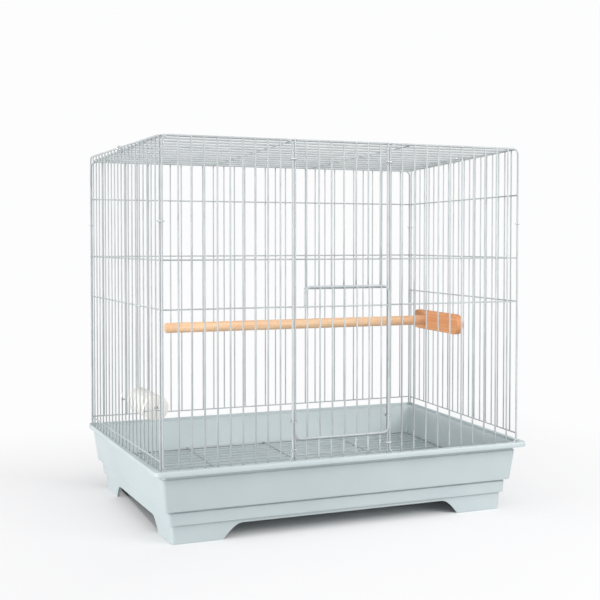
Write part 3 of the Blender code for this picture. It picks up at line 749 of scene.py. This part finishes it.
low = DOOR_TOP - UNDER_DOOR_TOP
gate_wires("gate_upper_wires", "gate_upper_panel", low, door_leg, TOP, [RAILS["middle"]])
gate_wires("gate_sill_wires", "gate_sill_panel", FOOT_OF_WIRES, gate_first, SILL, [])
foot = FOOT_OF_WIRES - FRAME_RADIUS
for name, place in (("left", GATE_LEFT), ("right", GATE_RIGHT)):
    shape = bmesh.new()
    bar(shape, FRONT.at(place, foot), FRONT.at(place, TOP + FRAME_RADIUS), FRAME_WIRE, 12)
    finish_piece(f"gate_guide_{name}", shape, coat, "cage", [f"guide_{name}"])

# %% [markdown]
# ## The sliding door
# One wire is bent into the door's frame: up from the left eye's side, along the bottom, up the
# right side and back along the top. The bars run from top to bottom inside it. Two small eyes,
# wound round the uprights, keep it on its guides, so it slides up and can't fall out.


# %% Door
def wound_eye(shape, centre, inner, wire, winds=1.5, sides=8, steps=16):
    """A small coil round an upright, spun from a circle."""
    start = Vector(centre) + Vector((inner + wire, 0.0, -wire * winds))
    place = Matrix.Translation(start) @ Matrix.Rotation(radians(90), 4, "X")
    first = ring_edges(shape, wire, sides, place)
    count = int(steps * winds)
    spun = bmesh.ops.spin(
        shape,
        geom=first,
        cent=centre,
        axis=(0.0, 0.0, 1.0),
        dvec=(0.0, 0.0, 2 * wire * winds / count),
        angle=2 * pi * winds,
        steps=count,
    )["geom_last"]
    for rim in (first, edges_in(spun)):
        bmesh.ops.contextual_create(shape, geom=rim)


DOOR_SLACK = 0.2 * MM
DOOR_SET = -(FRAME_RADIUS + BAR_RADIUS + GAP + DOOR_SLACK)
EYE_WIRE = 0.6 * MM
EYE_CLEAR = GAP * 1.5
shape = bmesh.new()
path = [
    (GATE_LEFT, DOOR_EYE),
    (GATE_LEFT, DOOR_FOOT),
    (GATE_RIGHT, DOOR_FOOT),
    (GATE_RIGHT, DOOR_TOP),
    (door_leg, DOOR_TOP),
    (door_leg, RAILS["lower"]),
]
wire_path(shape, [FRONT.at(along, height, DOOR_SET) for along, height in path], FRAME_RADIUS)
for place in gate_places:
    bar(shape, FRONT.at(place, DOOR_FOOT, DOOR_SET), FRONT.at(place, DOOR_TOP, DOOR_SET))
    weld(shape, FRONT.at(place, RAILS["lower"], DOOR_SET - FRONT_RAIL_SET / 2))
rail_set = DOOR_SET - FRONT_RAIL_SET
ends = (FRONT.at(along, RAILS["lower"], rail_set) for along in (GATE_LEFT, GATE_RIGHT))
bar(shape, *ends, THIN_RADIUS)
inner = 2 * FRAME_RADIUS + EYE_CLEAR
for one, two in ((GATE_LEFT, LEFT_BAY), (GATE_RIGHT, RIGHT_BAY_START)):
    wound_eye(shape, FRONT.at((one + two) / 2, DOOR_EYE), inner, EYE_WIRE)
finish_piece("lift_door", shape, coat, "door", ["sliding_door"])

# %% [markdown]
# ## Roof and floor grate
# Both are a frame bent flat with wires across it and a few ties under or over them. The roof
# slopes down to the back by 5 mm. The grate lies loose on a ledge in the tray, and droppings
# fall through it to the floor below.


# %% Lattice
def plan(front, height_at, back=None):
    """Corners of the cage's plan moved outwards by front and back, each at its own height."""
    points = []
    for x, y in ((-1, -1), (1, -1), (1, 1), (-1, 1)):
        offset = front if y < 0 or back is None else back
        reach = DEPTH / 2 + offset
        half = half_width(y * reach) + offset / cos(LEAN)
        points.append(Vector((x * half, y * reach, height_at(y * reach))))
    return points


def half_width(y):
    """Half the cage's width at this depth."""
    return FRONT_WIDTH / 2 + (BACK_WIDTH - FRONT_WIDTH) / 2 * (y / DEPTH + 0.5)


def flat_lattice(name, node, body, inset, height_at, radius, pitch, tie_pitch, tie_side):
    """A flat frame with wires from side to side, and ties under (-1) or over (1) them."""
    shape = bmesh.new()
    wire_path(shape, plan(-inset, height_at), FRAME_RADIUS, closed=True)
    rows = evenly(-DEPTH / 2 + inset, DEPTH / 2 - inset, pitch)
    columns = evenly(-FRONT_WIDTH / 2, FRONT_WIDTH / 2, tie_pitch)
    for y in rows:
        reach = half_width(y) - inset
        bar(shape, (-reach, y, height_at(y)), (reach, y, height_at(y)), radius)
    offset = Vector((0.0, 0.0, tie_side * WALL_RAIL_SET))
    ends = (-DEPTH / 2 + inset, DEPTH / 2 - inset)
    for x in columns:
        near, far = (Vector((x, y, height_at(y))) + offset for y in ends)
        bar(shape, near, far, THIN_RADIUS)
        for y in rows:
            weld(shape, Vector((x, y, height_at(y))) + offset / 2, THIN_WELD)
    finish_piece(name, shape, coat, body, [node])


# %% Roof and grate
ROOF_RADIUS = 1.0 * MM
LEDGE = 0.0352
GRATE_INSET = 9.1 * MM
# From wire to wire, and from tie to tie
ROOF_PITCHES = (0.0212, 0.123)
GRATE_PITCHES = (0.0138, 0.0925)


def roof_height(y):
    """The roof wires' height, lower towards the back."""
    return TOP - ROOF_DROP * (y / DEPTH + 0.5)


def grate_height(y):
    """The grate wires' height, the same at every depth."""
    return LEDGE + GAP + FRAME_RADIUS


flat_lattice(
    "roof", "roof_panel", "cage", CORNER_SET, roof_height, ROOF_RADIUS, *ROOF_PITCHES, -1
)
flat_lattice(
    "litter_grate",
    "floor_grate",
    "grate",
    GRATE_INSET,
    grate_height,
    THIN_RADIUS,
    *GRATE_PITCHES,
    1,
)

# %% [markdown]
# ## Clips
# The walls are loose panels until small rings are crimped round neighbouring wires. Pliers
# squeeze such a ring into an oval that hugs both wires, so it is drawn as one more bent wire,
# closed, with a half turn at each end.

# %% Places of the clips
CLIP_WIRE = 0.6 * MM
CLIP_CLEAR = 0.15 * MM
# A bend just under a clip's half width, so that each end is nearly a half circle
CLIP_ROUND = 0.97
CLIP_BEHIND = 0.1365
CORNER_CLIPS = 0.292
BAY_CLIPS = {"low": 0.0810, "high": 0.3500}
UP = Vector((0.0, 0.0, 1.0))
beside = FRAME_RADIUS + GAP
clips = {}
for name, one, two in (
    ("front_left", FRONT.at(beside, 0), LEFT.at(LEFT.length - CORNER_SET, 0)),
    ("front_right", FRONT.at(FRONT_WIDTH - beside, 0), RIGHT.at(CORNER_SET, 0)),
    ("back_right", BACK.at(beside, 0), RIGHT.at(RIGHT.length - CORNER_SET, 0)),
    ("back_left", BACK.at(BACK.length - beside, 0), LEFT.at(CORNER_SET, 0)),
):
    lift = UP * CORNER_CLIPS
    clips[name] = (one + lift, two + lift, UP)
for name, one, two in (
    ("left_bay", LEFT_BAY, GATE_LEFT),
    ("right_bay", RIGHT_BAY_START, GATE_RIGHT),
):
    for level, height in BAY_CLIPS.items():
        clips[f"{name}_{level}"] = (FRONT.at(one, height), FRONT.at(two, height), UP)


def between_bars(wall, along):
    """The middle of the gap between two bars that is nearest to along."""
    bars = evenly(*wall_ends(wall))
    middles = [(one + two) / 2 for one, two in zip(bars, bars[1:])]
    return min(middles, key=lambda middle: abs(middle - along))


for name, wall, target in (
    ("roof_left", LEFT, LEFT.length - CLIP_BEHIND / cos(LEAN)),
    ("roof_right", RIGHT, CLIP_BEHIND / cos(LEAN)),
):
    place = between_bars(wall, target)
    low = roof_height(wall.at(place, 0.0).y)
    clips[name] = (wall.at(place, TOP), wall.at(place, low, CORNER_SET), wall.along)
print("clips:", ", ".join(clips))

# %% Bent clips
reach = FRAME_RADIUS + CLIP_CLEAR + CLIP_WIRE
for name, (one, two, normal) in clips.items():
    shape = bmesh.new()
    long = (two - one).normalized()
    wide = normal.cross(long) * reach
    ends = (one - long * reach, two + long * reach)
    loop = [ends[0] - wide, ends[1] - wide, ends[1] + wide, ends[0] + wide]
    wire_path(shape, loop, CLIP_WIRE, closed=True, bend=CLIP_ROUND * reach, sides=8, steps=5)
    finish_piece(f"ring_{name}", shape, zinc, "cage", [f"clip_{name}"], 80)

# %% [markdown]
# ## The tray
# The tray is one moulding: a lip that narrows towards the back, a tall band that leans in
# towards the bottom, two steps, and a skirt that is cut away between four feet. Under the lip
# and under the band's edge it is let in a little, which gives a dark line of shade. Inside it
# has a seat for the feet of the wires, just under the rim, and lower down a ledge for the
# grate. All of it is one section that runs round the plan, so a ring of the plan is drawn for
# each point of the section, with its corners rounded by a bevel, and each ring is joined to
# the last one.

# %% Tray section
WALL = 2.4 * MM
LIP = 7.8 * MM
LIP_BACK = 3.2 * MM
LIP_FOOT = 0.0665
BAND_TOP_IN = 1.0 * MM
BAND_IN = 5.0 * MM
BAND_FOOT = 0.0324
STEP_IN = 9.2 * MM
STEP_LOW_IN = 9.9 * MM
STEP_FOOT = 0.0184
SKIRT_TOP_IN = 12.7 * MM
SKIRT_IN = 13.8 * MM
FLOOR = 0.0186
FLOOR_THICK = 2.8 * MM
UNDERCUT = 1.5 * MM
SEAT = 1.3 * MM
CORNER = 3 * MM
LEDGE_WIDE = 5.2 * MM
# Shares of the corner's rounding inside the tray and round the lip
INNER = 0.65
OUTER = 2.2
# Places across the section, from the plane of the wires outwards
rim_inside = FRAME_RADIUS + 0.5 * MM
rim_top = rim_inside + 0.5 * MM
inside = -BAND_IN - WALL
ledge_edge = inside - LEDGE_WIDE
SECTION = [
    (-SKIRT_IN - WALL, FLOOR - FLOOR_THICK, INNER),
    (-SKIRT_IN - WALL, 0.3 * MM, INNER),
    (-SKIRT_IN - WALL + 0.3 * MM, 0.0, INNER),
    (-SKIRT_IN - 0.4 * MM, 0.0, 1.0),
    (-SKIRT_IN, 0.4 * MM, 1.0),
    (-SKIRT_TOP_IN, STEP_FOOT - 0.9 * MM, 1.0),
    (-SKIRT_TOP_IN + 0.3 * MM, STEP_FOOT - 0.6 * MM, 1.0),
    (-STEP_LOW_IN - 0.6 * MM, STEP_FOOT - 0.5 * MM, 1.0),
    (-STEP_LOW_IN - 0.1 * MM, STEP_FOOT - 0.3 * MM, 1.0),
    (-STEP_LOW_IN, STEP_FOOT + 0.1 * MM, 1.0),
    (-STEP_IN - 0.1 * MM, BAND_FOOT - 3.2 * MM, 1.0),
    (-STEP_IN - 0.4 * MM, BAND_FOOT - 2.9 * MM, 1.0),
    (-STEP_IN - UNDERCUT, BAND_FOOT - 2.7 * MM, 1.0),
    (-STEP_IN - UNDERCUT, BAND_FOOT - 1.0 * MM, 1.0),
    (-STEP_IN - 0.6 * MM, BAND_FOOT - 0.6 * MM, 1.0),
    (-BAND_IN - 0.7 * MM, BAND_FOOT - 0.6 * MM, 1.0),
    (-BAND_IN - 0.15 * MM, BAND_FOOT - 0.4 * MM, 1.0),
    (-BAND_IN, BAND_FOOT + 0.1 * MM, 1.0),
    (-BAND_TOP_IN - 0.6 * MM, LIP_FOOT - 4.8 * MM, 1.0),
    (-BAND_TOP_IN - 0.9 * MM, LIP_FOOT - 4.4 * MM, 1.0),
    (-BAND_TOP_IN - UNDERCUT, LIP_FOOT - 4.1 * MM, 1.0),
    (-BAND_TOP_IN - UNDERCUT, LIP_FOOT - 0.5 * MM, 1.0),
    (-BAND_TOP_IN - UNDERCUT + 0.5 * MM, LIP_FOOT, 1.0),
    (LIP - 0.4 * MM, LIP_FOOT, OUTER),
    (LIP - 0.1 * MM, LIP_FOOT + 0.1 * MM, OUTER),
    (LIP, LIP_FOOT + 0.4 * MM, OUTER),
    (LIP, RIM - 0.9 * MM, OUTER),
    (LIP - 0.25 * MM, RIM - 0.25 * MM, OUTER),
    (LIP - 0.9 * MM, RIM, OUTER),
    (rim_top, RIM, INNER),
    (rim_inside + 0.1 * MM, RIM - 0.15 * MM, INNER),
    (rim_inside, RIM - 0.5 * MM, INNER),
    (rim_inside, SHOULDER, INNER),
    (-SEAT, SHOULDER, INNER),
    (-BAND_TOP_IN - WALL - 0.1 * MM, SHOULDER - 2.2 * MM, INNER),
    (inside, LEDGE + 1.2 * MM, INNER),
    (inside - 0.3 * MM, LEDGE + 0.3 * MM, INNER),
    (inside - 1.0 * MM, LEDGE, INNER),
    (ledge_edge + 0.6 * MM, LEDGE, INNER),
    (ledge_edge, LEDGE - 0.6 * MM, INNER),
    (ledge_edge - 0.6 * MM, FLOOR + 2.4 * MM, INNER),
    (ledge_edge - 1.2 * MM, FLOOR + 0.8 * MM, INNER),
    (ledge_edge - 2.7 * MM, FLOOR, INNER),
]
print("section points:", len(SECTION))


# %% Tray
def plan_ring(offset, height, corner, steps=8):
    """Points of the plan at one level, its four corners rounded by a bevel."""
    back = max(offset - LIP + LIP_BACK, min(offset, rim_top))
    sketch = bmesh.new()
    verts = [sketch.verts.new(point) for point in plan(offset, lambda y: height, back)]
    sketch.faces.new(verts)
    ease(sketch, verts, corner, steps, "VERTICES")
    sketch.faces.ensure_lookup_table()
    points = [vert.co.copy() for vert in sketch.faces[0].verts]
    sketch.free()
    return points


shape = bmesh.new()
offset, height, share = SECTION[0]
ring = [shape.verts.new(point) for point in plan_ring(offset, height, CORNER * share)]
edges = shape.faces.new(ring).edges[:]
for offset, height, share in SECTION[1:]:
    grown = bmesh.ops.extrude_edge_only(shape, edges=edges)["geom"]
    fresh = set(verts_in(grown))
    ring = [
        next(other for edge in vert.link_edges if (other := edge.other_vert(vert)) in fresh)
        for vert in ring
    ]
    for vert, point in zip(ring, plan_ring(offset, height, CORNER * share)):
        vert.co = point
    edges = [edge for edge in edges_in(grown) if fresh.issuperset(edge.verts)]
shape.faces.new(ring)
bmesh.ops.recalc_face_normals(shape, faces=shape.faces)
print("tray volume, cm3:", round(shape.calc_volume() * 1e6, 1))
tray_blank = add_object("tray_blank", mesh_of("tray_blank", shape))

# %% [markdown]
# ## Feet
# The skirt is cut away between the feet, with an eased slope up to the cut at each foot. One
# long cutter goes through front and back and another through both sides, as a mould's
# core would leave them.

# %% Cutters
NOTCH = 14.4 * MM
THROUGH = 0.25
# The slope's rise for each share of its run
EASE = (
    (0.0, 0.0),
    (0.12, 0.20),
    (0.25, 0.38),
    (0.42, 0.60),
    (0.60, 0.79),
    (0.80, 0.94),
    (1.0, 1.0),
)


def carve(blank, tools):
    """The blank's mesh with the tools cut out of it. The blank and the tools are removed."""
    for tool in tools:
        cut = blank.modifiers.new(tool.name, "BOOLEAN")
        cut.operation = "DIFFERENCE"
        cut.solver = "EXACT"
        cut.object = tool
    ready = blank.evaluated_get(bpy.context.evaluated_depsgraph_get())
    carved = bpy.data.meshes.new_from_object(ready)
    for item in (blank, *tools):
        bpy.data.objects.remove(item)
    return carved


def notch(name, reach, slope, sideways):
    """A cutter as wide as the opening between two feet, right through the tray."""
    outline = [(-reach, -1.0 * MM)]
    outline += [(-reach + slope * run, NOTCH * rise) for run, rise in EASE]
    outline += [(-x, z) for x, z in reversed(outline)]
    shape = bmesh.new()
    verts = [shape.verts.new((x, -THROUGH, z)) for x, z in outline]
    grown = bmesh.ops.extrude_face_region(shape, geom=[shape.faces.new(verts)])["geom"]
    bmesh.ops.translate(shape, verts=verts_in(grown), vec=(0.0, 2 * THROUGH, 0.0))
    if sideways:
        turn = Matrix.Rotation(radians(90), 3, "Z")
        bmesh.ops.rotate(shape, verts=shape.verts, cent=(0, 0, 0), matrix=turn)
    bmesh.ops.recalc_face_normals(shape, faces=shape.faces)
    return add_object(name, mesh_of(name, shape))


# %% Feet
notches = [
    notch(name, half - SKIRT_IN - foot, slope, sideways)
    for name, half, foot, slope, sideways in (
        ("lengthways", FRONT_WIDTH / 2, 47.5 * MM, 18 * MM, False),
        ("sideways", DEPTH / 2, 41.9 * MM, 15 * MM, True),
    )
]
shape = bmesh.new()
shape.from_mesh(carve(tray_blank, notches))
finish_piece("tray", shape, plastic, "base", ["base_tray"], 40)

# %% [markdown]
# ## Perch
# A dowel plugs into a wooden plate that a screw and a washer hold to the right wall, so only
# one end is fixed. The dowel is a turned bar with a rounded free end, and the plate a flat bar
# with round ends and eased edges.

# %% Dowel
PERCH_HEIGHT = 0.1805
PERCH_BEHIND = 0.200
PERCH_RADIUS = 5.6 * MM
PLATE_LONG = 0.116
PLATE_HIGH = 22.6 * MM
PLATE_THICK = 7.5 * MM
PLATE_BEHIND = 0.174
PLATE_EDGE = 1.2 * MM
DOWEL_START = 54.2 * MM
DOWEL_IN = 4.5 * MM
SCREW_IN = 2.5 * MM
SCREW_HOLE = 2.1 * MM
face_set = THIN_RADIUS + GAP
perch_y = PERCH_BEHIND - DEPTH / 2
plate_face = half_width(perch_y) - (face_set + PLATE_THICK) / cos(LEAN)
dowel_wood = wood("dowel_wood", 0.0, "#F5C398", "#FFDAB2")
plate_wood = wood("plate_wood", pi / 2 - LEAN, "#E69B67", "#F2AF7B")

shape = bmesh.new()
free_end = DOWEL_START - FRONT_WIDTH / 2
seat = plate_face + DOWEL_IN
start, end = ((x, perch_y, PERCH_HEIGHT) for x in (free_end, seat))
bar(shape, start, end, PERCH_RADIUS, sides=32, rim=0.18)
finish_piece("dowel", shape, dowel_wood, "cage", ["perch_dowel"], 60)


# %% Perch plate
def drilled(mesh, start, end, radius, sides):
    """The mesh with a round hole from start to end."""
    drill = bmesh.new()
    bar(drill, start, end, radius, sides)
    return carve(add_object("blank", mesh), [add_object("drill", mesh_of("drill", drill))])


def sharp_edges(shape):
    """The edges where two faces meet at more than 60 degrees."""
    return [edge for edge in shape.edges if edge.calc_face_angle(0.0) > radians(60)]


shape = bmesh.new()
reach = PLATE_LONG / 2 - PLATE_HIGH / 2
centre = PLATE_BEHIND / cos(LEAN)
bmesh.ops.create_circle(shape, segments=40, radius=PLATE_HIGH / 2)
for vert in shape.verts:
    vert.co.x += reach if vert.co.x > 0 else -reach
bmesh.ops.contextual_create(shape, geom=shape.edges[:])
grown = bmesh.ops.extrude_face_region(shape, geom=shape.faces[:])["geom"]
bmesh.ops.translate(shape, verts=verts_in(grown), vec=(0.0, 0.0, PLATE_THICK))
ease(shape, sharp_edges(shape), PLATE_EDGE, 4)
turn = Matrix((RIGHT.along, UP, RIGHT.inward)).transposed().to_4x4()
bmesh.ops.transform(
    shape,
    matrix=Matrix.Translation(RIGHT.at(centre, PERCH_HEIGHT, face_set)) @ turn,
    verts=shape.verts,
)
bmesh.ops.recalc_face_normals(shape, faces=shape.faces)
mesh = mesh_of("plate", shape)
start, end = ((x, perch_y, PERCH_HEIGHT) for x in (plate_face - PLATE_THICK, seat + GAP))
mesh = drilled(mesh, start, end, PERCH_RADIUS + GAP, 32)
along = PERCH_BEHIND / cos(LEAN)
grip = face_set + SCREW_IN
start, end = (RIGHT.at(along, PERCH_HEIGHT, inward) for inward in (-THIN_RADIUS, grip + GAP))
mesh = drilled(mesh, start, end, SCREW_HOLE, 16)
shape = bmesh.new()
shape.from_mesh(mesh)
finish_piece("perch_holder", shape, plate_wood, "cage", ["perch_plate"], 40)

# %% [markdown]
# ## Washer and screw
# Outside the wall a plain washer spreads the load over two wires, and a screw with a rounded
# head pulls the plate against them. The washer is a circle drawn out to a flat ring and then
# thickened. The head is a profile spun about the shank.


# %% Washer
WASHER = 9.0 * MM
WASHER_HOLE = 2.2 * MM
WASHER_THICK = 1.0 * MM
WASHER_EDGE = 0.2 * MM
washer_face = -THIN_RADIUS - GAP - WASHER_THICK
centre = RIGHT.at(along, PERCH_HEIGHT, washer_face)
shape = bmesh.new()
edges = ring_edges(shape, WASHER_HOLE, 36, pointing(centre, RIGHT.inward))
for vert in verts_in(bmesh.ops.extrude_edge_only(shape, edges=edges)["geom"]):
    vert.co = centre + (vert.co - centre) * (WASHER / WASHER_HOLE)
bmesh.ops.recalc_face_normals(shape, faces=shape.faces)
thick = bmesh.ops.extrude_face_region(shape, geom=shape.faces[:])["geom"]
bmesh.ops.translate(shape, verts=verts_in(thick), vec=RIGHT.inward * WASHER_THICK)
ease(shape, sharp_edges(shape), WASHER_EDGE, 2)
finish_piece("washer", shape, zinc, "cage", ["perch_washer"], 40)

# %% Screw
SHANK = 1.8 * MM
HEAD = 3.8 * MM
HEAD_SECTION = (
    (0.0, 0.0),
    (HEAD, 0.0),
    (HEAD, 0.5 * MM),
    (HEAD * 0.93, 1.2 * MM),
    (HEAD * 0.75, 1.8 * MM),
    (HEAD * 0.45, 2.1 * MM),
    (0.0, 2.2 * MM),
)
shape = bmesh.new()
head_face = washer_face - GAP
in_head = head_face - 0.5 * MM
start, end = (RIGHT.at(along, PERCH_HEIGHT, inward) for inward in (in_head, grip))
bar(shape, start, end, SHANK, 16)
profile = [
    shape.verts.new(RIGHT.at(along + x, PERCH_HEIGHT, head_face - z)) for x, z in HEAD_SECTION
]
edges = [shape.edges.new(pair) for pair in zip(profile, profile[1:])]
bmesh.ops.spin(
    shape,
    geom=edges,
    cent=RIGHT.at(along, PERCH_HEIGHT, head_face),
    axis=RIGHT.inward,
    angle=2 * pi,
    steps=32,
    use_merge=True,
)
finish_piece("screw", shape, zinc, "cage", ["perch_screw"], 40)

# %% [markdown]
# ## Mineral block
# A block of pressed mineral for a breeding cage is a short cylinder with a hole along it. A
# wire goes through the hole and hooks out between the bars of the left wall. Spinning a profile
# about the hole gives the block and its hole at once.

# %% Block
BLOCK = 12.1 * MM
BLOCK_LONG = 59 * MM
BLOCK_BEHIND = 86.5 * MM
BLOCK_HEIGHT = 0.1177
centre = LEFT.length - BLOCK_BEHIND / cos(LEAN)
depth = BLOCK + THIN_RADIUS + GAP
shape = bmesh.new()
half = BLOCK_LONG / 2
profile = [
    (-half + 2 * MM, 1.6 * MM),
    (-half, 2.0 * MM),
    (-half, BLOCK - 1.2 * MM),
    (-half + 0.4 * MM, BLOCK - 0.4 * MM),
    (-half + 1.2 * MM, BLOCK),
]
profile += [(-x, r) for x, r in reversed(profile)]
verts = [shape.verts.new(LEFT.at(centre + x, BLOCK_HEIGHT + r, depth)) for x, r in profile]
edges = [shape.edges.new(pair) for pair in zip(verts, verts[1:] + verts[:1])]
bmesh.ops.spin(
    shape,
    geom=edges,
    cent=LEFT.at(centre, BLOCK_HEIGHT, depth),
    axis=LEFT.along,
    angle=2 * pi,
    steps=40,
    use_merge=True,
)
finish_piece("beak_block", shape, mineral, "cage", ["mineral_block"], 40)

# %% Hanger
HANGER = 0.8 * MM
HANGER_BEND = 1.6 * MM
HOOK_UP = 7 * MM
first, last = wall_ends(LEFT)
bars = [first, *evenly(first, last), last]
slots = [(one + two) / 2 for one, two in zip(bars, bars[1:])]
hooks = [
    max(slot for slot in slots if slot < centre - half - HANGER_BEND),
    min(slot for slot in slots if slot > centre + half + HANGER_BEND),
]
beyond = -THIN_RADIUS - HANGER - GAP
shape = bmesh.new()
path = [(hooks[0], beyond), (hooks[0], depth), (hooks[1], depth), (hooks[1], beyond)]
wire_path(
    shape,
    [LEFT.at(along, BLOCK_HEIGHT, inward) for along, inward in path],
    HANGER,
    bend=HANGER_BEND,
    sides=10,
)
for along in hooks:
    low, high = BLOCK_HEIGHT - HANGER, BLOCK_HEIGHT + HOOK_UP
    bar(shape, LEFT.at(along, low, beyond), LEFT.at(along, high, beyond), HANGER)
finish_piece("hanger", shape, zinc, "cage", ["block_hanger"])

# %% [markdown]
# Both boxes, the CAD model's and the visual model's, are printed side by side, so one can see
# whether the visual model fits inside the CAD model's box.

VISUAL_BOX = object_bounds()
for name, box in (("CAD", CAD_BOX), ("visual", VISUAL_BOX)):
    print(name, "mm:", [[round(value * 1000, 1) for value in point] for point in box])
